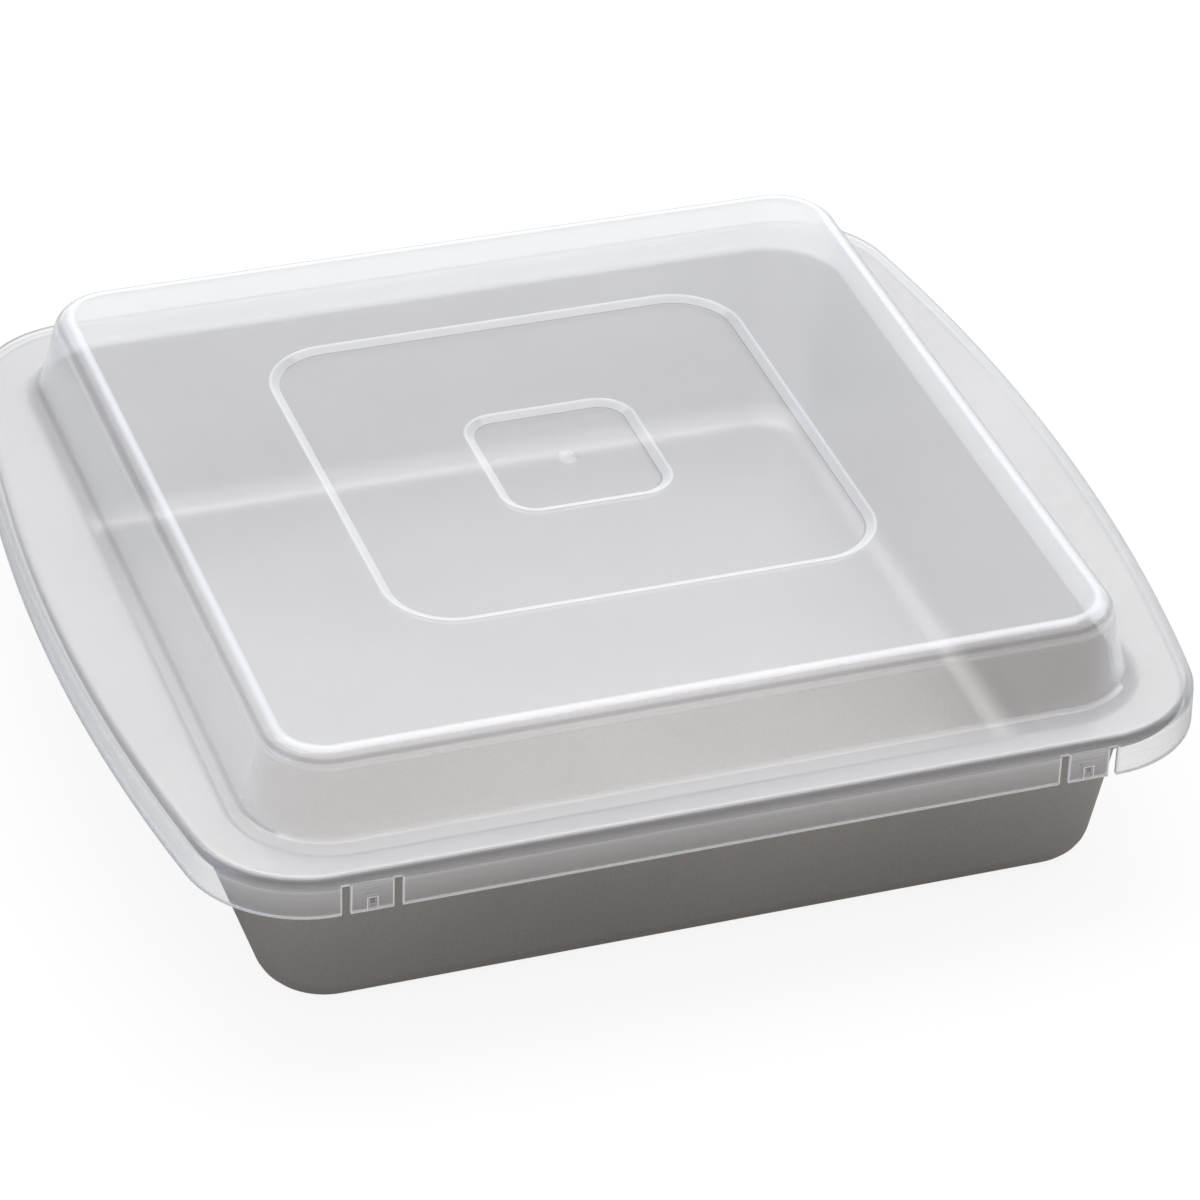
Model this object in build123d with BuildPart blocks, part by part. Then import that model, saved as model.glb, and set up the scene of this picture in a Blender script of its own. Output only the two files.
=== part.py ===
from build123d import *
from math import radians, sqrt, tan
import os

# Square baking pan with a moulded cover that snaps over its rim. Millimetres, +Z up.
# The origin is on the table under the middle of the pan. +X runs across the two wide, bowed side rims.

# Pan, drawn from sheet steel
sheet = 0.8  # thickness of the steel
opening_width = 228.6  # inside width between the walls at the rim, 9 in
pan_depth = 50.8  # inside depth, 2 in
wall_draft = 9.5  # lean of the walls, in degrees
base_corner_radius = 16.0  # corner between two walls, at the base
base_bend_radius = 8.0  # bend from the floor to the walls, outside
rim_bend_radius = 2.5  # bend from the walls to the rim, underneath

# Rim of the pan, with bowed sides that serve as handles
side_rim_width = 19.45  # from the opening to the outside of the rolled edge, at the middle of a bowed side
end_rim_width = 8.95  # from the opening to the outside of the rolled edge, at the front and back
rim_side_radius = 575.0  # bow of the side rims, in plan
rim_corner_radius = 27.5  # corners of the rim, in plan
curl_diameter = 4.4  # rolled edge
curl_sides = 12  # flats in a full turn of the rolled edge, outside
curl_bore_sides = 8  # and inside

# Cover, moulded in one thickness of plastic
cover_wall = 1.2
skirt_clearance = 1.0  # from the rolled edge to the skirt
skirt_drop = 9.2  # from the top of the rim down to the skirt's edge
skirt_draft = 2.0  # lean of the skirt, in degrees
shoulder_radius = 2.4  # from the flange to the skirt, outside
dome_inset = 2.7  # from the opening in to the dome walls, where they meet the flange
dome_foot_corner = 20.0
dome_rise = 21.0  # from the flange to the top panel
dome_draft = 13.0  # lean of the dome walls, in degrees
dome_foot_radius = 1.6  # from the dome wall to the flange
dome_edge_radius = 5.5  # from the top panel to the dome wall

# Two concentric square steps, sunk in the top panel, and the dimple of the moulding gate in the middle
outer_step_width = 126.4
outer_step_corner = 17.5
inner_step_width = 44.6
inner_step_corner = 9.0
step_depth = 1.1
step_slope = 45.0  # lean of the step's side from the vertical, in degrees
gate_dimple_diameter = 7.0
gate_dimple_depth = 0.4

# Snap tabs, two at the front and two at the back
tab_inset = 24.5  # from the side of the opening in to the middle of a tab
tab_width = 10.4
slot_width = 2.2  # slot on each side of a tab
hook_width = 2.8
hook_gap = 0.2  # from a hook to the rolled edge, in plan
hook_lip = 0.5  # height of a hook's front
hook_lead = 2.2  # height of the ramp under a hook's front
hook_foot = 0.7  # from the edge of the skirt up to a hook
hook_pocket_width = 1.4
hook_pocket_height = 1.8
hook_pocket_depth = 0.5

# Levels and sizes that follow from the above
rim_top = sheet + pan_depth
rim_width = opening_width + 2 * side_rim_width
rim_depth = opening_width + 2 * end_rim_width
dome_foot_width = opening_width - 2 * dome_inset
tab_offset = opening_width / 2 - tab_inset
curl_radius = curl_diameter / 2
flange_top = rim_top + cover_wall
skirt_bottom = rim_top - skirt_drop
slot_top = flange_top - shoulder_radius
cover_top = flange_top + dome_rise
wall_lean = tan(radians(wall_draft))
skirt_lean = tan(radians(skirt_draft))
flat_share = 2 - sqrt(2)  # leg of a flat against the radius of the round that it stands for
half_turn = 180
skirt_grow = skirt_clearance + cover_wall + skirt_lean * skirt_drop


def rim_outline(grow):
    """Plan outline of the rim, grown by this much all round: straight ends, bowed sides, round corners."""
    side = rim_width / 2 + grow
    end = rim_depth / 2 + grow
    corner = rim_width / 2 - rim_side_radius + sqrt((rim_side_radius + grow) ** 2 - end**2)
    with BuildLine() as outline:
        Polyline((-corner, -end), (0, -end), (corner, -end))
        ThreePointArc((corner, -end), (side, 0), (corner, end))
        Line((corner, end), (-corner, end))
        ThreePointArc((-corner, end), (-side, 0), (-corner, -end))
        fillet([v for v in outline.vertices() if abs(v.X) > side / 2], rim_corner_radius + grow)
    return outline.wire()


def curl_ring(radius, sides, mode=Mode.ADD):
    """Section of the rolled edge in flats, with a flat at the top."""
    RegularPolygon(radius, sides, major_radius=False, rotation=half_turn / sides, mode=mode)


def soften(edges, radius, hidden):
    """Round the edges, or cut hidden ones flat, just so deep that the wall there stays as thick."""
    if hidden:
        chamfer(edges, flat_share * radius)
    else:
        fillet(edges, radius)


def tub(floor, inset):
    """Block with the walls' lean: the outside of the pan, or its hollow when inset by the steel."""
    width = opening_width + 2 * sheet - 2 * inset
    with BuildPart() as block:
        with BuildSketch(Plane.XY.offset(rim_top)):
            RectangleRounded(width, width, base_corner_radius + wall_lean * rim_top - inset)
        extrude(amount=floor - rim_top)
        draft(block.faces().filter_by(Axis.Z, reverse=True), Plane.XY.offset(rim_top), -wall_draft)
        fillet(block.edges().group_by(Axis.Z)[0], base_bend_radius - inset)
    return block.part


def sunk_step(level, width, corner, inset):
    """Solid that a square step takes out of the top panel. Its underside is wider by the wall's turn."""
    grow = 2 * inset * tan(radians(step_slope / 2))
    with BuildPart() as step:
        with BuildSketch(Plane.XY.offset(level)):
            RectangleRounded(width + grow, width + grow, corner + grow / 2)
        extrude(amount=-step_depth, taper=step_slope)
    return step.part


def cover_form(inset):
    """Outside of the whole cover, or its inside when inset by the wall."""
    flange = flange_top - inset
    top = cover_top - inset
    foot = dome_foot_width - 2 * inset
    steps = [
        sunk_step(top, outer_step_width, outer_step_corner, inset),
        sunk_step(top - step_depth, inner_step_width, inner_step_corner, inset),
    ]
    outline = rim_outline(skirt_grow - inset)
    with BuildPart() as form:
        with BuildSketch(Plane.XY.offset(skirt_bottom)):
            add(outline)
            make_face()
        extrude(amount=flange - skirt_bottom, taper=skirt_draft)
        soften(form.edges().group_by(Axis.Z)[-1], shoulder_radius - inset, hidden=inset > 0)
        with BuildSketch(Plane.XY.offset(flange)):
            RectangleRounded(foot, foot, dome_foot_corner - inset)
        extrude(amount=dome_rise, taper=dome_draft)
        flange_face = form.faces().filter_by(Axis.Z).sort_by(Axis.Z)[1]
        soften(flange_face.inner_wires()[0].edges(), dome_foot_radius + inset, hidden=True)
        soften(form.edges().group_by(Axis.Z)[-1], dome_edge_radius - inset, hidden=inset > 0)
        add(steps, mode=Mode.SUBTRACT)
    return form.part


# Pan: floor, leaning walls, flat rim and the edge rolled down and under
curl_path = rim_outline(-curl_radius)
curl_start = (0, curl_radius - rim_depth / 2, rim_top - curl_radius)
curl_plane = Plane(origin=curl_start, x_dir=(0, -1, 0), z_dir=(-1, 0, 0))
under_rim = rim_top - sheet
pan_outside = tub(0, 0)
pan_inside = tub(sheet, sheet)

with BuildPart() as pan:
    add(pan_outside)
    with BuildSketch(Plane.XY.offset(under_rim)):
        add(curl_path)
        make_face()
    extrude(amount=sheet)
    soften(pan.edges(Select.NEW).group_by(Axis.Z)[0], rim_bend_radius, hidden=True)
    add(pan_inside, mode=Mode.SUBTRACT)
    fillet(pan.faces().sort_by(Axis.Z)[-1].inner_wires()[0].edges(), rim_bend_radius + sheet)
    with BuildSketch(curl_plane):
        curl_ring(curl_radius, curl_sides)
        curl_ring(curl_radius - sheet, curl_bore_sides, mode=Mode.SUBTRACT)
        Rectangle(curl_radius, curl_radius, align=(Align.MAX, Align.MIN), mode=Mode.SUBTRACT)
    sweep(path=curl_path)
pan.part.label = "pan"

# Whole moulding of the cover, with the gate's dimple in the middle of the inner step
cover_outside = cover_form(0)
cover_inside = cover_form(cover_wall)
panel_floor = cover_top - 2 * step_depth

with BuildPart() as moulding:
    add(cover_outside)
    add(cover_inside, mode=Mode.SUBTRACT)
    with BuildSketch(Plane.XY.offset(panel_floor)):
        Circle(gate_dimple_diameter / 2)
    extrude(amount=-gate_dimple_depth, mode=Mode.SUBTRACT)

# Cover without its tabs: each tab's place is a notch up from the edge of the skirt
end_face = rim_depth / 2 + skirt_clearance + cover_wall / 2
notch_width = tab_width + 2 * slot_width
notch_reach = 2 * (cover_wall + skirt_clearance)
skirt_height = slot_top - skirt_bottom
tab_places = [(side * tab_offset, end * end_face, skirt_bottom) for end in (-1, 1) for side in (-1, 1)]
seated = (Align.CENTER, Align.CENTER, Align.MIN)

with BuildPart() as lid:
    add(moulding.part)
    with Locations(*tab_places):
        Box(notch_width, notch_reach, skirt_height, align=seated, mode=Mode.SUBTRACT)
lid.part.label = "lid"


def hook_section(end):
    """Side view of a hook inside the skirt at the front (-1) or back (1), as a sketch on the YZ plane."""
    root = end * (rim_depth / 2 + skirt_clearance + cover_wall / 2)
    tip = end * (rim_depth / 2 + hook_gap)
    low = skirt_bottom + hook_foot
    with BuildSketch(Plane.YZ) as section:
        with BuildLine():
            Polyline(
                (root, low),
                (tip, low + hook_lead),
                (tip, low + hook_lead + hook_lip),
                (root, low + hook_lead + hook_lip),
                close=True,
            )
        make_face()
    return section.sketch


def snap_tab(place, name):
    """One tab of the skirt between its two slots, with a hook that snaps under the rolled edge."""
    end = -1 if place[1] < 0 else 1
    section = hook_section(end)
    outer_face = end * (rim_depth / 2 + skirt_grow)
    pocket = (hook_pocket_width, 2 * hook_pocket_depth, hook_pocket_height)
    pocket_base = skirt_bottom + hook_foot + hook_lead / 2
    with BuildPart() as tab:
        add(moulding.part)
        with Locations(place):
            Box(tab_width, notch_reach, skirt_height, align=seated, mode=Mode.INTERSECT)
        with Locations((place[0], 0, 0)):
            add(extrude(section, amount=hook_width / 2, both=True, mode=Mode.PRIVATE))
        with Locations((place[0], outer_face, pocket_base)):
            Box(*pocket, align=seated, mode=Mode.SUBTRACT)
    tab.part.label = name
    return tab


tab_names = ["snap_tab_front_left", "snap_tab_front_right", "snap_tab_back_left", "snap_tab_back_right"]
tabs = [snap_tab(place, name) for place, name in zip(tab_places, tab_names)]

os.makedirs("parts", exist_ok=True)
for piece in (pan, lid, *tabs):
    export_step(piece.part, f"parts/{piece.part.label}.step")
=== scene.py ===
import bpy
import bmesh
from math import acos, atan2, cos, pi, radians, sin, sqrt, tan
from mathutils import Euler, Matrix, Vector
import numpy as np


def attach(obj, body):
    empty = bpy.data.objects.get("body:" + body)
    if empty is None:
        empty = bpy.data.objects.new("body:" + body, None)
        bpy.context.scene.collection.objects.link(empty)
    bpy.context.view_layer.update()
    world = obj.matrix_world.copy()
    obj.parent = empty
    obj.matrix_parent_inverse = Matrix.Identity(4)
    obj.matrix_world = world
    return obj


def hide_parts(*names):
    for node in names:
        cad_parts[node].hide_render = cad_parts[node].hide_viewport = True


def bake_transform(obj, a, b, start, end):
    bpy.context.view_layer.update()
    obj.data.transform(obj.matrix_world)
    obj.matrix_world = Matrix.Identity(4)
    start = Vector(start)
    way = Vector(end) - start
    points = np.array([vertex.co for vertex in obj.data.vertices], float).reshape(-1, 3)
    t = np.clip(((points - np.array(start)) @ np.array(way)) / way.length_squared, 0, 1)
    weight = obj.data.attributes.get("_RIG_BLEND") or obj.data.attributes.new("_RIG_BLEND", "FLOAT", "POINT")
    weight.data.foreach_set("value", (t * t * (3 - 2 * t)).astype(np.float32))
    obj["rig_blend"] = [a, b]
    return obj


# Square baking pan of coated steel under a translucent moulded cover.
# Metres, +Z up. The origin is on the table under the middle of the pan. The front faces -Y.

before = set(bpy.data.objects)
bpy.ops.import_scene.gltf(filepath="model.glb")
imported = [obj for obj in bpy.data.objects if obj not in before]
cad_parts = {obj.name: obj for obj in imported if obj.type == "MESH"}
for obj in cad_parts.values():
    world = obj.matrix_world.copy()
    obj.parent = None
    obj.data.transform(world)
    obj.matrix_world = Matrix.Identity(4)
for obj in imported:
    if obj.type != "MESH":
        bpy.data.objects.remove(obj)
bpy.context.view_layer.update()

MM = 0.001

# Pan
SHEET = 0.8 * MM  # thickness of the steel
OPENING = 228.6 * MM  # inside width between the walls at the rim
RIM_TOP = 51.6 * MM
WALL_LEAN = radians(9.5)
BASE_CORNER = 16.0 * MM  # corner between two walls at the base, outside
BASE_BEND = 7.2 * MM  # bend from the floor to the walls, inside
BASE_REACH = 18.0 * MM  # from the opening in to where the floor's flat starts
RIM_BEND = 2.4 * MM  # bend from the walls to the rim, on top
RIM_WIDTH = 267.5 * MM  # over the bowed sides
RIM_DEPTH = 246.5 * MM  # over the straight front and back
RIM_SIDE_RADIUS = 575.0 * MM
RIM_CORNER = 27.5 * MM
CURL_RADIUS = 2.2 * MM  # rolled edge

# Cover
COVER_WALL = 1.15 * MM
SKIRT_GROW = 2.521 * MM  # from the pan's rolled edge out to the skirt's lower edge
SKIRT_BOTTOM = 42.4 * MM
SKIRT_LEAN = radians(2.0)
SHOULDER = 2.4 * MM  # round from the skirt to the flange
FLANGE_START = 4.0 * MM  # from the skirt's line in to where the flange's flat starts
FLANGE_TOP = 52.8 * MM
DOME_FOOT = 223.2 * MM
DOME_FOOT_CORNER = 20.0 * MM
DOME_FOOT_BEND = 1.6 * MM
DOME_LEAN = radians(13.0)
DOME_EDGE = 5.5 * MM  # round from the dome's walls to the top panel
PANEL_START = 6.0 * MM  # from the dome wall's line in to where the top panel's flat starts
COVER_TOP = 73.8 * MM

# Two square steps sunk in the top panel, and the dimple of the moulding gate
STEP_DEPTH = 1.1 * MM
STEP_RUN = 2.3 * MM  # width of a step's sloping side
STEP_MARGIN = 1.5 * MM  # strip of flat kept on both sides of the slope
STEP_TOP_BEND = 2.0 * MM
STEP_LOW_BEND = 1.0 * MM
OUTER_STEP = 126.4 * MM
OUTER_STEP_CORNER = 17.5 * MM
INNER_STEP = 44.6 * MM
INNER_STEP_CORNER = 9.0 * MM
GATE_RADIUS = 3.5 * MM
GATE_DEPTH = 0.4 * MM

# Snap tabs, each between two slots in the skirt
TAB_OFFSET = 89.8 * MM  # from the middle of the pan to the middle of a tab
TAB_WIDTH = 10.4 * MM
SLOT_WIDTH = 2.2 * MM
TAB_ROOT = 50.1 * MM  # level at which a tab leaves the cover
TAB_BEND_END = 48.5 * MM  # level below which a tab moves as one
TAB_STRETCH = 105.0 * MM  # half of the stretch of skirt that holds the tabs
SKIRT_TOP = FLANGE_TOP - SHOULDER + 0.1 * MM  # just above the foot of the shoulder

# Hook inside each tab, the pocket behind it and the painted highlight line round it
HOOK_WIDTH = 2.8 * MM
HOOK_LOW = 43.1 * MM
HOOK_LEAD = 2.2 * MM  # height of the ramp
HOOK_LIP = 0.5 * MM  # height of the flat above the ramp
HOOK_TIP = 123.45 * MM  # how far from the middle of the pan a hook stops
POCKET_WIDTH = 1.4 * MM
POCKET_LOW = 44.2 * MM
POCKET_HEIGHT = 1.8 * MM
POCKET_DEPTH = 0.45 * MM
ARCH_HALF = 1.25 * MM  # half the width of the line's arch
ARCH_TOP = 46.2 * MM
ARCH_LINE = 0.25 * MM  # from the middle of the line to its edge

# How finely the shapes are drawn
CORNER_STEPS = 16
SIDE_STEPS = 20
CURL_STEPS = 8  # in a quarter turn
GATE_SIDES = 32
SUPPORT = 0.2 * MM  # from the end of a round to the ring that keeps the flat beside it flat
EDGE_LINE = 0.45 * MM  # width of the painted highlight line along a cut edge
SAME_POINT = 0.0001 * MM  # points this near are one
SEAM_GAP = 0.001 * MM  # points this near are joined along a seam
NEAR = 0.02 * MM  # slack when points and faces are picked by their place
WALL_SLACK = 0.05 * MM  # how far the inside of the wall may stand above the outside at a cut

# How each line of a profile shows: above 0 a painted highlight, whiter, below 0 painted shade, darker.
# A round has its values from the first leg of the profile to the second.
PLAIN = (0.0,) * 7  # a round drawn with seven rings
# painted shade: a dark band round the shoulder
SHOULDER_LOOK = (0.1, -0.2, -0.45, -0.6, -0.65, -0.65, -0.5, -0.1)
SKIRT_LEVELS = (SKIRT_BOTTOM + EDGE_LINE, 44.0 * MM, 46.0 * MM, TAB_BEND_END, 49.3 * MM, TAB_ROOT)
# painted light: the skirt a little darker low down and lighter up towards the shoulder
SKIRT_LOOK = (0.03, -0.05, 0.03, 0.08, 0.13, 0.2)
# painted highlight: a light line round the dome's foot
FOOT_LOOK = (0.0, 0.2, 0.3, 0.2, 0.0)
# painted highlights and painted shade on the dome's top round: light lines with a dark line between them
EDGE_LOOK = (0.05, 0.12, 0.12, 0.0, -0.3, -0.3, 0.0, 0.04, 0.06, 0.2, 0.35, 0.35, 0.1)
# painted highlights on the steps' slopes and painted shade at their low bends
STEP_OUTER_LOOK = (0.0, 0.14, 0.28, 0.24, 0.18)
STEP_SIDE_LOOK = 0.14
STEP_INNER_LOOK = (0.14, 0.16, 0.08, -0.45, -0.45)
# painted highlight along every cut edge
CUT_LOOK = 1.0
# painted highlight round the hook
ARCH_LOOK = 0.8
# painted shade on the pocket and the hook
PATCH_LOOK = -0.4

# How the shoulder's painted shade and the painted line at the dome's foot differ along the bowed sides
SIDE_SHADE = 0.45  # what is left of the shoulder's painted shade
SIDE_SHADE_END = 98.0 * MM  # how far from the middle it starts to come back
SIDE_SHADE_FADE = 22.0 * MM  # and the length over which it does
FOOT_SIDE_SHADE = 0.7  # how dark the foot's painted shade is along the sides, against how light its painted highlight is in front

# The gate's dimple: how far in, share of its depth, look (painted highlight above 0, painted shade below 0)
GATE_PROFILE = (
    (0.0 * MM, 0.0, 0.0),
    (0.3 * MM, 0.0, 0.0),
    (0.9 * MM, 0.25, -0.05),
    (1.6 * MM, 0.75, 0.05),
    (2.2 * MM, 1.0, 0.1),
    (2.7 * MM, 1.0, 0.1),
)

# Material order on every moulded piece
OUTSIDE, CUT_EDGE, INSIDE, SEAM = 0, 1, 2, 3


# ---- outlines in plan, each one face at one height ----

def swing(bm, vert, centre, angle, steps):
    """Carries a vertex round a centre and returns the last vertex of the arc that it leaves."""
    made = bmesh.ops.spin(
        bm, geom=[vert], cent=centre, axis=(0, 0, 1), dvec=(0, 0, 0),
        angle=angle, steps=steps, use_duplicate=False,
    )
    return [v for v in made["geom_last"] if isinstance(v, bmesh.types.BMVert)][0]


def look_up(face):
    face.normal_update()
    if face.normal.z < 0:
        face.normal_flip()
    return face


def ring_from_quarter(bm, before):
    """Mirrors a quarter of an outline twice and fills the ring with one face that looks up."""
    for axis in ("X", "Y"):
        new = [v for v in bm.verts if v not in before]
        geom = new + [e for e in bm.edges if e.verts[0] not in before]
        bmesh.ops.mirror(bm, geom=geom, matrix=Matrix.Identity(4), merge_dist=-1, axis=axis)
        new = [v for v in bm.verts if v not in before]
        bmesh.ops.remove_doubles(bm, verts=new, dist=SEAM_GAP)
    edges = [e for e in bm.edges if e.verts[0] not in before]
    return look_up(bmesh.ops.contextual_create(bm, geom=edges)["faces"][0])


def rim_face(bm, grow, height):
    """The rim's outline: straight front and back, bowed sides, round corners."""
    before = set(bm.verts)
    end = RIM_DEPTH / 2 + grow
    side = RIM_SIDE_RADIUS + grow
    corner = RIM_CORNER + grow
    bow_x = RIM_WIDTH / 2 - RIM_SIDE_RADIUS
    corner_x = bow_x + sqrt((side - corner) ** 2 - (end - corner) ** 2)
    turn = atan2(end - corner, corner_x - bow_x)
    middle = bm.verts.new((0, -end, height))
    start = bm.verts.new((corner_x, -end, height))
    bm.edges.new((middle, start))
    v = swing(bm, start, (corner_x, corner - end, height), pi / 2 - turn, CORNER_STEPS)
    swing(bm, v, (bow_x, 0, height), turn, SIDE_STEPS)
    return ring_from_quarter(bm, before)


def square_face(bm, width, corner, height):
    """A square outline with round corners."""
    before = set(bm.verts)
    half = width / 2
    middle = bm.verts.new((0, -half, height))
    start = bm.verts.new((half - corner, -half, height))
    bm.edges.new((middle, start))
    v = swing(bm, start, (half - corner, corner - half, height), pi / 2, CORNER_STEPS)
    last = bm.verts.new((half, 0, height))
    bm.edges.new((v, last))
    return ring_from_quarter(bm, before)


def round_face(bm, radius, height):
    place = Matrix.Translation((0, 0, height))
    made = bmesh.ops.create_circle(
        bm, cap_ends=True, segments=GATE_SIDES, radius=radius, matrix=place,
    )
    return look_up(made["verts"][0].link_faces[0])


# ---- side profiles: (how far in, how high, look) points with rounded corners ----

def rounded(points, bends, looks, legs=(0.0, 0.0, 0.0, 0.0)):
    """Points of a profile with its inner corners rounded. Each round and each leg has its look."""
    out = [(*points[0], 0.0)]
    corners = zip(points, points[1:], points[2:], bends, looks, legs, legs[1:])
    for a, b, c, bend, look, leg_before, leg_after in corners:
        a, b, c = Vector(a), Vector(b), Vector(c)
        u, w = (a - b).normalized(), (c - b).normalized()
        half = acos(max(-1.0, min(1.0, u.dot(w)))) / 2
        reach = bend / tan(half)
        centre = b + (u + w).normalized() * (bend / sin(half))
        first, last = b + u * reach - centre, b + w * reach - centre
        sweep = first.angle_signed(last)
        if (a - b).length > reach + 2 * SUPPORT:
            out.append((*(b + u * (reach + SUPPORT)), leg_before))
        for i, shown in enumerate(look):
            p = centre + Matrix.Rotation(-sweep * i / (len(look) - 1), 2) @ first
            out.append((*p, shown))
        if (c - b).length > reach + 2 * SUPPORT:
            out.append((*(b + w * (reach + SUPPORT)), leg_after))
    out.append((*points[-1], 0.0))
    return out


def stack(bm, face, profile):
    """Steps a capped outline along a profile, ring by ring, and takes the cap off.

    Returns the edges of the first and the last ring.
    """
    look = bm.verts.layers.float["look"]
    x, z, shown = profile[0]
    for v in face.verts:
        v[look] = shown
    first = []
    for next_x, next_z, shown in profile[1:]:
        face.normal_update()
        up = 1 if face.normal.z > 0 else -1
        band = bmesh.ops.inset_region(
            bm, faces=[face], thickness=next_x - x, depth=(next_z - z) * up,
            use_even_offset=True, use_boundary=True,
        )["faces"]
        first = first or [e for f in band for e in f.edges if e.is_boundary]
        for v in face.verts:
            v[look] = shown
        x, z = next_x, next_z
    last = list(face.edges)
    bmesh.ops.delete(bm, geom=[face], context="FACES_ONLY")
    return first, last


def fill_flat(bm, *rings):
    edges = [e for ring in rings for e in ring]
    bmesh.ops.triangle_fill(bm, edges=edges, use_beauty=True, use_dissolve=False, normal=(0, 0, 1))


def new_skin():
    bm = bmesh.new()
    bm.verts.layers.float.new("look")
    return bm


def flat_top_looks_up(bm):
    """Whether the largest of the highest faces looks up, with heights taken to 0.01 mm."""
    top = max(bm.faces, key=lambda f: (round(f.calc_center_median().z, 5), f.calc_area()))
    top.normal_update()
    return top.normal.z > 0


def skin_object(bm, name):
    """The skin as an object, smooth, with its outside out."""
    bmesh.ops.remove_doubles(bm, verts=bm.verts, dist=SAME_POINT)
    bmesh.ops.recalc_face_normals(bm, faces=bm.faces)
    if not flat_top_looks_up(bm):
        bmesh.ops.reverse_faces(bm, faces=bm.faces)
    return mesh_object(bm, name)


def mesh_object(bm, name):
    mesh = bpy.data.meshes.new(name)
    bm.to_mesh(mesh)
    bm.free()
    mesh.shade_smooth()
    ob = bpy.data.objects.new(name, mesh)
    bpy.context.scene.collection.objects.link(ob)
    return ob


def thicken(ob, wall, materials):
    """Gives a skin its wall, behind its faces."""
    for material in materials:
        ob.data.materials.append(material)
    solid = ob.modifiers.new("wall", "SOLIDIFY")
    solid.thickness = wall
    solid.offset = -1
    solid.use_even_offset = True
    solid.use_quality_normals = True
    solid.use_rim = True
    solid.material_offset_rim = CUT_EDGE
    solid.material_offset = INSIDE
    made = bpy.data.meshes.new_from_object(ob.evaluated_get(bpy.context.evaluated_depsgraph_get()))
    ob.modifiers.clear()
    ob.data = made
    return ob


# ---- pan ----

def curl_arc(way, quarters):
    """Profile round the rolled edge from its outermost line in, over it (1) or under it (-1)."""
    level = RIM_TOP - CURL_RADIUS
    angles = [pi / 2 * i / CURL_STEPS for i in range(quarters * CURL_STEPS + 1)]
    return [(CURL_RADIUS * (1 - cos(a)), level + way * CURL_RADIUS * sin(a), 0.0) for a in angles]


def make_pan(steel):
    bm = new_skin()
    over = curl_arc(1, 1) + [(CURL_RADIUS + SUPPORT, RIM_TOP, 0.0)]
    _, rim = stack(bm, rim_face(bm, 0, RIM_TOP - CURL_RADIUS), over)
    face = rim_face(bm, 0, RIM_TOP - CURL_RADIUS)
    face.normal_flip()
    stack(bm, face, curl_arc(-1, 2))
    lean = tan(WALL_LEAN)
    out = RIM_BEND * tan((pi / 2 - WALL_LEAN) / 2) + 2 * SUPPORT
    wall = rounded(
        [(-out, RIM_TOP), (0, RIM_TOP), (lean * (RIM_TOP - SHEET), SHEET), (BASE_REACH, SHEET)],
        [RIM_BEND, BASE_BEND],
        [PLAIN, PLAIN],
    )
    corner = BASE_CORNER + lean * RIM_TOP - SHEET
    mouth = square_face(bm, OPENING + 2 * out, corner + out, RIM_TOP)
    first, last = stack(bm, mouth, [(x + out, z, shown) for x, z, shown in wall])
    fill_flat(bm, rim, first)
    fill_flat(bm, last)
    return thicken(skin_object(bm, "pan_sheet"), SHEET, [steel])


# ---- cover ----

def make_cover(materials):
    bm = new_skin()
    flange = raise_skirt(bm)
    panel = raise_dome(bm, flange)
    panel, level = sink_steps(bm, panel)
    sink_gate(bm, panel, level)
    bmesh.ops.remove_doubles(bm, verts=bm.verts, dist=SAME_POINT)
    shade_step_sides(bm)
    cut_slots(bm)
    return thicken(skin_object(bm, "cover_skin"), COVER_WALL, materials)


def raise_skirt(bm):
    """Skirt and shoulder. Returns the ring where the flange's flat starts."""
    lean = tan(SKIRT_LEAN)
    wall_in = lean * (FLANGE_TOP - SKIRT_BOTTOM)
    skirt = rounded(
        [(0, SKIRT_BOTTOM), (wall_in, FLANGE_TOP), (wall_in + FLANGE_START, FLANGE_TOP)],
        [SHOULDER],
        [SHOULDER_LOOK],
    )
    lines = [(lean * (z - SKIRT_BOTTOM), z, shown) for z, shown in zip(SKIRT_LEVELS, SKIRT_LOOK)]
    # the skirt's lower edge gets the painted highlight line
    skirt[:1] = [(0, SKIRT_BOTTOM, CUT_LOOK)] + lines
    _, flange = stack(bm, rim_face(bm, SKIRT_GROW, SKIRT_BOTTOM), skirt)
    # the shoulder's painted shade is weakened along the bowed sides
    weaken_painted_shade_on_sides(bm)
    return flange


def raise_dome(bm, flange):
    """Flange and dome walls. Returns the ring where the top panel's flat starts."""
    dome_in = tan(DOME_LEAN) * (COVER_TOP - FLANGE_TOP)
    out = DOME_FOOT_BEND * tan((pi / 2 - DOME_LEAN) / 2) + 2 * SUPPORT
    dome = rounded(
        [
            (-out, FLANGE_TOP),
            (0, FLANGE_TOP),
            (dome_in, COVER_TOP),
            (dome_in + PANEL_START, COVER_TOP),
        ],
        [DOME_FOOT_BEND, DOME_EDGE],
        [FOOT_LOOK, EDGE_LOOK],
    )
    foot = square_face(bm, DOME_FOOT + 2 * out, DOME_FOOT_CORNER + out, FLANGE_TOP)
    skirt_verts = set(bm.verts) - set(foot.verts)
    first, panel = stack(bm, foot, [(x + out, z, shown) for x, z, shown in dome])
    shade_side_feet(bm, skirt_verts)
    fill_flat(bm, flange, first)
    return panel


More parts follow.
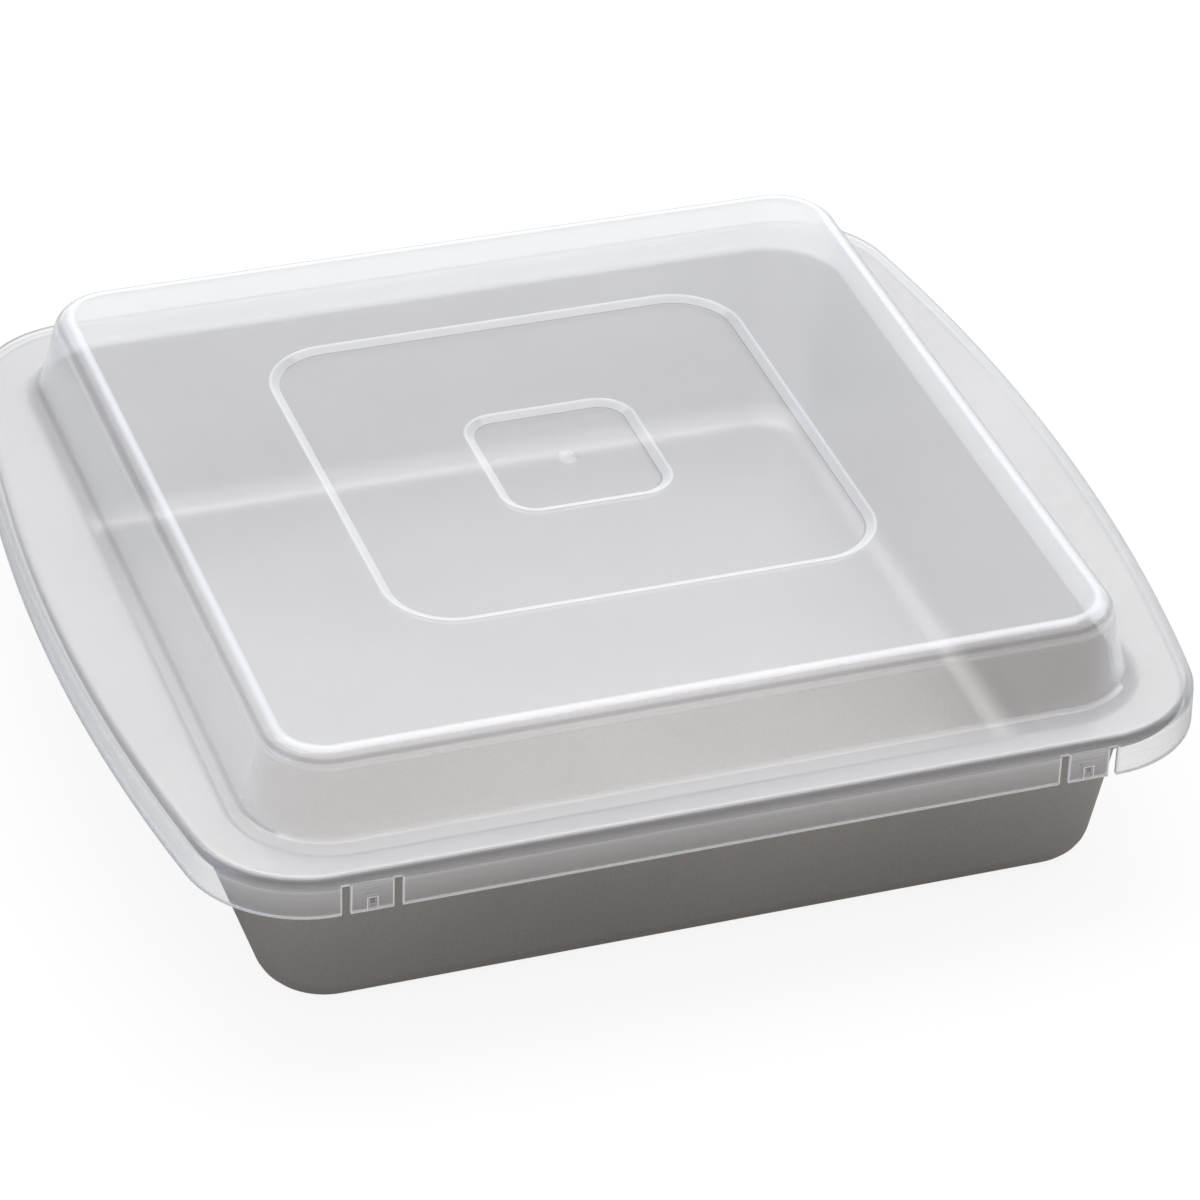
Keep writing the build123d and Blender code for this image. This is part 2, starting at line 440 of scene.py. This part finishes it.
def sink_steps(bm, panel):
    """The two steps. Returns the ring and the level of the flat inside them."""
    top = COVER_TOP
    for width, corner in ((OUTER_STEP, OUTER_STEP_CORNER), (INNER_STEP, INNER_STEP_CORNER)):
        step = rounded(
            [
                (0, top),
                (STEP_MARGIN, top),
                (STEP_MARGIN + STEP_RUN, top - STEP_DEPTH),
                (2 * STEP_MARGIN + STEP_RUN, top - STEP_DEPTH),
            ],
            [STEP_TOP_BEND, STEP_LOW_BEND],
            [STEP_OUTER_LOOK, STEP_INNER_LOOK],
            (0.0, STEP_SIDE_LOOK, 0.0),
        )
        start = square_face(bm, width + 2 * STEP_MARGIN, corner + STEP_MARGIN, top)
        first, last = stack(bm, start, step)
        fill_flat(bm, panel, first)
        panel = last
        top -= STEP_DEPTH
    return panel, top


def sink_gate(bm, panel, level):
    dimple = [(x, level - share * GATE_DEPTH, shown) for x, share, shown in GATE_PROFILE]
    first, last = stack(bm, round_face(bm, GATE_RADIUS, level), dimple)
    fill_flat(bm, panel, first)
    fill_flat(bm, last)


def weaken_painted_shade_on_sides(bm):
    """The shoulder's painted shade is weaker along the bowed sides."""
    look = bm.verts.layers.float["look"]
    for v in bm.verts:
        if v[look] < 0:
            share = max(0.0, min(1.0, (abs(v.co.y) - SIDE_SHADE_END) / SIDE_SHADE_FADE))
            v[look] *= SIDE_SHADE + (1 - SIDE_SHADE) * share


def shade_side_feet(bm, skirt_verts):
    """The painted line at the dome's foot is a painted highlight in front and behind, and painted shade
    along the sides.
    """
    look = bm.verts.layers.float["look"]
    for v in bm.verts:
        in_foot = v not in skirt_verts and v.co.z < FLANGE_TOP + DOME_FOOT_BEND
        if in_foot and abs(v.co.x) > abs(v.co.y):
            v[look] *= -FOOT_SIDE_SHADE


def shade_step_sides(bm):
    """Inside each step, the painted shade line shows only at the back and right."""
    look = bm.verts.layers.float["look"]
    for v in bm.verts:
        x, y, _ = v.co
        in_steps = max(abs(x), abs(y)) < OUTER_STEP / 2
        front_or_left = -min(x, y) > max(x, y)
        if v[look] < 0 and in_steps and front_or_left:
            v[look] = 0.0


def tab_skirt_faces(bm):
    """The skirt's faces near the tabs, below the shoulder."""
    found = []
    for f in bm.faces:
        c = f.calc_center_median()
        if c.z < SKIRT_TOP and abs(c.y) > RIM_DEPTH / 2 and abs(c.x) < TAB_STRETCH:
            found.append(f)
    return found


def cut_across(bm, faces, point, normal):
    geom = list(dict.fromkeys(g for f in faces for g in (f, *f.edges, *f.verts)))
    bmesh.ops.bisect_plane(bm, geom=geom, dist=SAME_POINT, plane_co=point, plane_no=normal)


def cut_slots(bm):
    """Cuts the slots beside each tab out of the skirt, with a painted highlight line round what is cut."""
    look = bm.verts.layers.float["look"]
    inner, outer = TAB_WIDTH / 2, TAB_WIDTH / 2 + SLOT_WIDTH
    for side in (-1, 1):
        for off in (inner - EDGE_LINE, inner, outer, outer + EDGE_LINE):
            for way in (-1, 1):
                x = side * TAB_OFFSET + way * off
                cut_across(bm, tab_skirt_faces(bm), (x, 0, 0), (1, 0, 0))
    slots = []
    for f in tab_skirt_faces(bm):
        if inner < abs(abs(f.calc_center_median().x) - TAB_OFFSET) < outer:
            slots.append(f)
    bmesh.ops.delete(bm, geom=slots, context="FACES")
    for f in tab_skirt_faces(bm):
        for e in f.edges:
            if e.is_boundary:
                for v in e.verts:
                    v[look] = CUT_LOOK


def in_tab(f, end, side):
    c = f.calc_center_median()
    return (
        abs(c.x - side * TAB_OFFSET) < TAB_WIDTH / 2 + NEAR
        and c.y * end > RIM_DEPTH / 2 - MM
        and max(v.co.z for v in f.verts) < TAB_ROOT + WALL_SLACK
    )


def close_seam(bm):
    """Closes the cut through the wall where a tab is taken off."""
    made = bmesh.ops.holes_fill(bm, edges=[e for e in bm.edges if e.is_boundary], sides=0)
    for f in made["faces"]:
        f.material_index = SEAM
        f.smooth = False


def split_tab(cover, name, end, side):
    """Takes one tab off the cover as a piece of its own, and gives it its hook and pocket."""
    tab = bmesh.new()
    tab.from_mesh(cover.data)
    bmesh.ops.delete(tab, geom=[f for f in tab.faces if not in_tab(f, end, side)], context="FACES")
    close_seam(tab)
    rest = bmesh.new()
    rest.from_mesh(cover.data)
    bmesh.ops.delete(rest, geom=[f for f in rest.faces if in_tab(f, end, side)], context="FACES")
    close_seam(rest)
    rest.to_mesh(cover.data)
    rest.free()
    middle = side * TAB_OFFSET
    tip = end * HOOK_TIP
    ramp_top = HOOK_LOW + HOOK_LEAD

    def raise_hook(v):
        return tip + (v.co.y - tip) * (1 - min(1.0, (v.co.z - HOOK_LOW) / HOOK_LEAD))

    def sink_pocket(v):
        return v.co.y - end * POCKET_DEPTH

    hook_levels = (HOOK_LOW, ramp_top, ramp_top + HOOK_LIP)
    pocket_levels = (POCKET_LOW, POCKET_LOW + POCKET_HEIGHT)
    grow_patch(tab, INSIDE, middle, HOOK_WIDTH, hook_levels, raise_hook)
    grow_patch(tab, OUTSIDE, middle, POCKET_WIDTH, pocket_levels, sink_pocket)
    draw_arch(tab, middle)
    piece = mesh_object(tab, name + "_skin")
    for material in cover.data.materials:
        piece.data.materials.append(material)
    return piece


def wall_faces(bm, side_of_wall):
    return [f for f in bm.faces if f.material_index == side_of_wall]


def draw_arch(bm, middle):
    """A painted highlight line round the hook, where it shows through the tab's outside."""
    look = bm.verts.layers.float["look"]
    for half in (ARCH_HALF - ARCH_LINE, ARCH_HALF, ARCH_HALF + ARCH_LINE):
        for off in (-half, half):
            cut_across(bm, wall_faces(bm, OUTSIDE), (middle + off, 0, 0), (1, 0, 0))
    for level in (ARCH_TOP - ARCH_LINE, ARCH_TOP, ARCH_TOP + ARCH_LINE):
        cut_across(bm, wall_faces(bm, OUTSIDE), (0, 0, level), (0, 0, 1))
    for v in {v for f in wall_faces(bm, OUTSIDE) for v in f.verts}:
        x, z = abs(v.co.x - middle), v.co.z
        leg = abs(x - ARCH_HALF) < NEAR and z < ARCH_TOP + NEAR
        top = abs(z - ARCH_TOP) < NEAR and x < ARCH_HALF + NEAR
        if leg or top:
            v[look] = ARCH_LOOK


def grow_patch(bm, side_of_wall, middle, width, levels, new_y):
    """Raises or sinks a patch of the tab's wall. new_y gives where each of its points goes."""
    look = bm.verts.layers.float["look"]
    for off in (-width / 2, width / 2):
        cut_across(bm, wall_faces(bm, side_of_wall), (middle + off, 0, 0), (1, 0, 0))
    for level in levels:
        cut_across(bm, wall_faces(bm, side_of_wall), (0, 0, level), (0, 0, 1))
    patch = []
    for f in wall_faces(bm, side_of_wall):
        c = f.calc_center_median()
        if abs(c.x - middle) < width / 2 and levels[0] < c.z < levels[-1]:
            patch.append(f)
    before = set(bm.faces)
    made = bmesh.ops.extrude_face_region(bm, geom=patch)["geom"]
    bmesh.ops.delete(bm, geom=[f for f in patch if f.is_valid], context="FACES_ONLY")
    caps = [f for f in made if isinstance(f, bmesh.types.BMFace)]
    for f in bm.faces:
        if f not in before and f not in caps:
            f.material_index = CUT_EDGE
            f.smooth = False
    for v in [v for v in made if isinstance(v, bmesh.types.BMVert)]:
        v.co.y = new_y(v)
        # painted shade on the raised or sunk patch
        v[look] = PATCH_LOOK
    bmesh.ops.remove_doubles(bm, verts=bm.verts, dist=SEAM_GAP)


# ---- finishes ----

def new_material(name):
    mat = bpy.data.materials.new(name)
    mat.use_nodes = True
    nt = mat.node_tree
    nt.nodes.clear()
    return mat, nt


def add_node(nt, kind, inputs=None, **settings):
    """Adds a node. Inputs are values or sockets to link."""
    n = nt.nodes.new(kind)
    for k, v in settings.items():
        setattr(n, k, v)
    for k, v in (inputs or {}).items():
        if isinstance(v, bpy.types.NodeSocket):
            nt.links.new(v, n.inputs[k])
        else:
            n.inputs[k].default_value = v
    return n


def maths(nt, op, *values, clamp=False):
    n = nt.nodes.new("ShaderNodeMath")
    n.operation = op
    n.use_clamp = clamp
    for socket, v in zip(n.inputs, values):
        if isinstance(v, bpy.types.NodeSocket):
            nt.links.new(v, socket)
        else:
            socket.default_value = v
    return n.outputs[0]


def noise(nt, place, scale, detail):
    inputs = {"Vector": place, "Scale": scale, "Detail": detail}
    return add_node(nt, "ShaderNodeTexNoise", inputs).outputs["Fac"]


def bump(nt, strength, distance, height):
    inputs = {"Strength": strength, "Distance": distance, "Height": height}
    return add_node(nt, "ShaderNodeBump", inputs).outputs[0]


def blend_colours(nt, share, a, b):
    return add_node(nt, "ShaderNodeMix", {0: share, 6: a, 7: b}, data_type="RGBA").outputs[2]


def blend_shaders(nt, share, a, b):
    return add_node(nt, "ShaderNodeMixShader", {0: share, 1: a, 2: b}).outputs[0]


WHITE = (1, 1, 1, 1)
CLEARNESS = 0.83  # share of the light that passes one skin of the wall, seen square on
EDGE_CLEARNESS = 0.2
SEAM_CLEARNESS = 0.995
LEVEL_MILK = 1.07  # how milky level faces are
WALL_MILK = 0.72  # how milky upright faces are
HIGHLIGHT_MILK = 7.0  # how much milkier and whiter a painted highlight line is
LINE_SHADE = 0.78  # how much a painted shade line dims what shows through it
CLOUD = 0.24  # how far the milkiness wanders
LEAST_SLANT = 0.12  # keeps skins seen edge-on from going solid white
BACK_SHARE = 0.5  # share of the scattered light that comes from behind the skin
SKIN_SHINE = 0.04  # share of the light that the gloss mirrors, seen square on
FRONT_TINT = (0.925, 0.945, 0.99, 1)
BACK_TINT = (0.95, 0.95, 0.96, 1)
# colour of the painted shade lines
SHADE_TINT = (0.16, 0.16, 0.17, 1)


def milky_plastic(name, clear, highlight_milk, line_shade, roughness):
    """Thin translucent plastic with a gloss. Some light goes through it, some is scattered."""
    mat, nt = new_material(name)
    out = add_node(nt, "ShaderNodeOutputMaterial")
    coordinates = add_node(nt, "ShaderNodeTexCoord")
    place = coordinates.outputs["Object"]
    look = add_node(nt, "ShaderNodeAttribute", attribute_name="look").outputs["Fac"]
    # white: share of painted highlight, dark: share of painted shade, both from the look attribute
    white = maths(nt, "MAXIMUM", look, 0.0)
    dark = maths(nt, "MAXIMUM", maths(nt, "MULTIPLY", look, -1.0), 0.0)
    facing = add_node(nt, "ShaderNodeLayerWeight", {"Blend": 0.5}).outputs["Facing"]
    slant = maths(nt, "MAXIMUM", maths(nt, "SUBTRACT", 1.0, facing), LEAST_SLANT)
    up = add_node(nt, "ShaderNodeSeparateXYZ", {0: coordinates.outputs["Normal"]}).outputs["Z"]
    flat = maths(nt, "MULTIPLY", up, up)
    milk = maths(nt, "MULTIPLY_ADD", flat, LEVEL_MILK - WALL_MILK, WALL_MILK)
    milk = maths(nt, "MULTIPLY_ADD", white, highlight_milk, milk)
    milk = maths(nt, "MULTIPLY_ADD", dark, line_shade, milk)
    clouds = noise(nt, place, scale=18.0, detail=3.0)
    milk = maths(nt, "MULTIPLY", milk, maths(nt, "MULTIPLY_ADD", clouds, CLOUD, 1 - CLOUD / 2))
    through = maths(nt, "POWER", clear, maths(nt, "DIVIDE", milk, slant), clamp=True)
    # painted shade darkens the scattered colour
    front = blend_colours(nt, dark, FRONT_TINT, SHADE_TINT)
    back = blend_colours(nt, dark, BACK_TINT, SHADE_TINT)
    # painted highlights take their scatter from the light in front
    scatter = blend_shaders(
        nt,
        maths(nt, "MULTIPLY_ADD", white, -BACK_SHARE, BACK_SHARE, clamp=True),
        add_node(nt, "ShaderNodeBsdfDiffuse", {"Color": front}).outputs[0],
        add_node(nt, "ShaderNodeBsdfTranslucent", {"Color": back}).outputs[0],
    )
    pane = maths(nt, "MULTIPLY_ADD", dark, -line_shade, 1.0)
    window = add_node(nt, "ShaderNodeBsdfTransparent", {"Color": pane}).outputs[0]
    film = blend_shaders(nt, through, scatter, window)
    waves = noise(nt, place, scale=60.0, detail=2.0)
    ripple = bump(nt, strength=0.05, distance=1.0 * MM, height=waves)
    inputs = {"Color": WHITE, "Roughness": roughness, "Normal": ripple}
    gloss = add_node(nt, "ShaderNodeBsdfAnisotropic", inputs).outputs[0]
    shine = maths(nt, "MULTIPLY_ADD", maths(nt, "POWER", facing, 5.0), 1 - SKIN_SHINE, SKIN_SHINE)
    nt.links.new(blend_shaders(nt, shine, film, gloss), out.inputs["Surface"])
    return mat


STEEL_LOW = (0.425, 0.402, 0.386, 1)
STEEL_HIGH = (0.54, 0.515, 0.498, 1)
FLECK_SHARE = 0.6  # of the fine speckle in the colour, against the broad clouding


def coated_steel():
    """Warm grey release coating on sheet steel, with a fine metallic speckle and a soft sheen."""
    mat, nt = new_material("coated_steel")
    out = add_node(nt, "ShaderNodeOutputMaterial")
    place = add_node(nt, "ShaderNodeTexCoord").outputs["Object"]
    fleck = noise(nt, place, scale=1800.0, detail=2.0)
    broad = noise(nt, place, scale=14.0, detail=4.0)
    fine = maths(nt, "MULTIPLY", fleck, FLECK_SHARE)
    mixed = maths(nt, "ADD", fine, maths(nt, "MULTIPLY", broad, 1 - FLECK_SHARE))
    ramp = add_node(nt, "ShaderNodeValToRGB", {"Fac": mixed})
    low, high = ramp.color_ramp.elements
    low.position, low.color = 0.3, STEEL_LOW
    high.position, high.color = 0.7, STEEL_HIGH
    coat = add_node(
        nt, "ShaderNodeBsdfPrincipled",
        {
            "Base Color": ramp.outputs["Color"],
            "Metallic": 0.9,
            "Roughness": maths(nt, "MULTIPLY_ADD", broad, 0.12, 0.36),
            "Normal": bump(nt, strength=0.1, distance=0.2 * MM, height=fleck),
        },
    )
    nt.links.new(coat.outputs[0], out.inputs["Surface"])
    return mat


steel = coated_steel()
moulded = [
    milky_plastic("cover_plastic", CLEARNESS, HIGHLIGHT_MILK, LINE_SHADE, roughness=0.13),
    milky_plastic("cover_edge", EDGE_CLEARNESS, 0.0, 0.0, roughness=0.2),
    milky_plastic("cover_inside", CLEARNESS, 0.0, 0.0, roughness=0.18),
    milky_plastic("cover_seam", SEAM_CLEARNESS, 0.0, 0.0, roughness=0.5),
]

pan = make_pan(steel)
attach(pan, "pan")
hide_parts("pan")

cover = make_cover(moulded)
for end, end_name in ((-1, "front"), (1, "back")):
    for side, side_name in ((-1, "left"), (1, "right")):
        body = f"snap_tab_{end_name}_{side_name}"
        tab = split_tab(cover, body, end, side)
        y = end * (RIM_DEPTH / 2 + SKIRT_GROW)
        x = side * TAB_OFFSET
        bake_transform(tab, "lid", body, start=(x, y, TAB_ROOT), end=(x, y, TAB_BEND_END))
        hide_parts(body)
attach(cover, "lid")
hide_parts("lid")


# ---- stage ----

TABLE_HALF = 6.0
TABLE_DROP = 0.1 * MM  # keeps the table clear of the pan's floor
TABLE_TONE = (0.6, 0.585, 0.57, 1)  # as it lights the part
TABLE_MIRRORED_SHADE = (0.33, 0.32, 0.31, 1)  # painted shade: the table darker as the part's gloss mirrors it, for the shadow in front of the pan
TABLE_PALE = (0.9, 0.9, 0.9, 1)  # as it is seen
TABLE_WHITE = 0.88  # share of plain white in the table as it is seen, the rest takes shadow
TABLE_SHINE = 0.1  # and as it is mirrored
WORLD_FILL = (0.75, 0.73, 0.71, 1)
LAMP_AIM = (0, 0, 0.05)
CAMERA_PLACE = (-0.391559, -1.049436, 0.805068)
CAMERA_TURN = (radians(55.2366), radians(-2.33147), radians(-19.34543))


def straight_through(nt, path):
    """A ray that glass lets through, and not one that milky plastic scatters."""
    through, scattered = path.outputs["Is Transmission Ray"], path.outputs["Is Diffuse Ray"]
    return maths(nt, "SUBTRACT", through, scattered, clamp=True)


def make_table():
    bm = bmesh.new()
    place = Matrix.Translation((0, 0, -TABLE_DROP))
    bmesh.ops.create_grid(bm, x_segments=1, y_segments=1, size=TABLE_HALF, matrix=place)
    mesh = bpy.data.meshes.new("table")
    bm.to_mesh(mesh)
    bm.free()
    ob = bpy.data.objects.new("table", mesh)
    bpy.context.scene.collection.objects.link(ob)
    mat, nt = new_material("white_table")
    out = add_node(nt, "ShaderNodeOutputMaterial")
    glow = add_node(nt, "ShaderNodeEmission", {"Color": WHITE, "Strength": 1.0}).outputs[0]
    path = add_node(nt, "ShaderNodeLightPath")
    seen = maths(nt, "MAXIMUM", path.outputs["Is Camera Ray"], straight_through(nt, path))
    # painted shade: the part's gloss mirrors a darker table
    tone = blend_colours(nt, path.outputs["Is Glossy Ray"], TABLE_TONE, TABLE_MIRRORED_SHADE)
    tone = blend_colours(nt, seen, tone, TABLE_PALE)
    paper = add_node(nt, "ShaderNodeBsdfDiffuse", {"Color": tone}).outputs[0]
    share = maths(nt, "MULTIPLY", path.outputs["Is Glossy Ray"], TABLE_SHINE)
    share = maths(nt, "MULTIPLY_ADD", seen, TABLE_WHITE, share)
    nt.links.new(blend_shaders(nt, share, paper, glow), out.inputs["Surface"])
    mesh.materials.append(mat)


def make_world():
    """White as it is seen and mirrored, and a warmer grey as it lights the part."""
    world = bpy.data.worlds.new("studio")
    bpy.context.scene.world = world
    world.use_nodes = True
    nt = world.node_tree
    nt.nodes.clear()
    out = add_node(nt, "ShaderNodeOutputWorld")
    path = add_node(nt, "ShaderNodeLightPath")
    seen = maths(nt, "MAXIMUM", path.outputs["Is Camera Ray"], path.outputs["Is Glossy Ray"])
    seen = maths(nt, "MAXIMUM", seen, straight_through(nt, path))
    tone = blend_colours(nt, seen, WORLD_FILL, WHITE)
    back = add_node(nt, "ShaderNodeBackground", {"Color": tone, "Strength": 1.0})
    nt.links.new(back.outputs[0], out.inputs["Surface"])


def soft_box(name, place, size, power, tint):
    data = bpy.data.lights.new(name, "AREA")
    data.shape = "RECTANGLE"
    data.size, data.size_y = size
    data.energy = power
    data.color = tint
    ob = bpy.data.objects.new(name, data)
    bpy.context.scene.collection.objects.link(ob)
    ob.location = place
    ob.rotation_euler = (Vector(LAMP_AIM) - Vector(place)).to_track_quat("-Z", "Y").to_euler()


make_table()
make_world()
soft_box("top_light", place=(0.0, 0.4, 1.35), size=(1.6, 1.1), power=15.5, tint=(0.97, 0.985, 1.0))
soft_box("left_light", place=(-1.3, -0.1, 0.7), size=(0.8, 0.8), power=2.4, tint=(0.35, 0.62, 1.0))
soft_box("right_light", place=(1.2, 0.3, 0.8), size=(0.8, 0.8), power=4.0, tint=(0.75, 0.88, 1.0))

camera_data = bpy.data.cameras.new("camera")
camera_data.sensor_width = 36.0
camera_data.lens = 160.694
camera = bpy.data.objects.new("camera", camera_data)
bpy.context.scene.collection.objects.link(camera)
camera.location = CAMERA_PLACE
camera.rotation_euler = Euler(CAMERA_TURN, "XYZ")
bpy.context.scene.camera = camera
bpy.context.scene.view_settings.view_transform = "Standard"
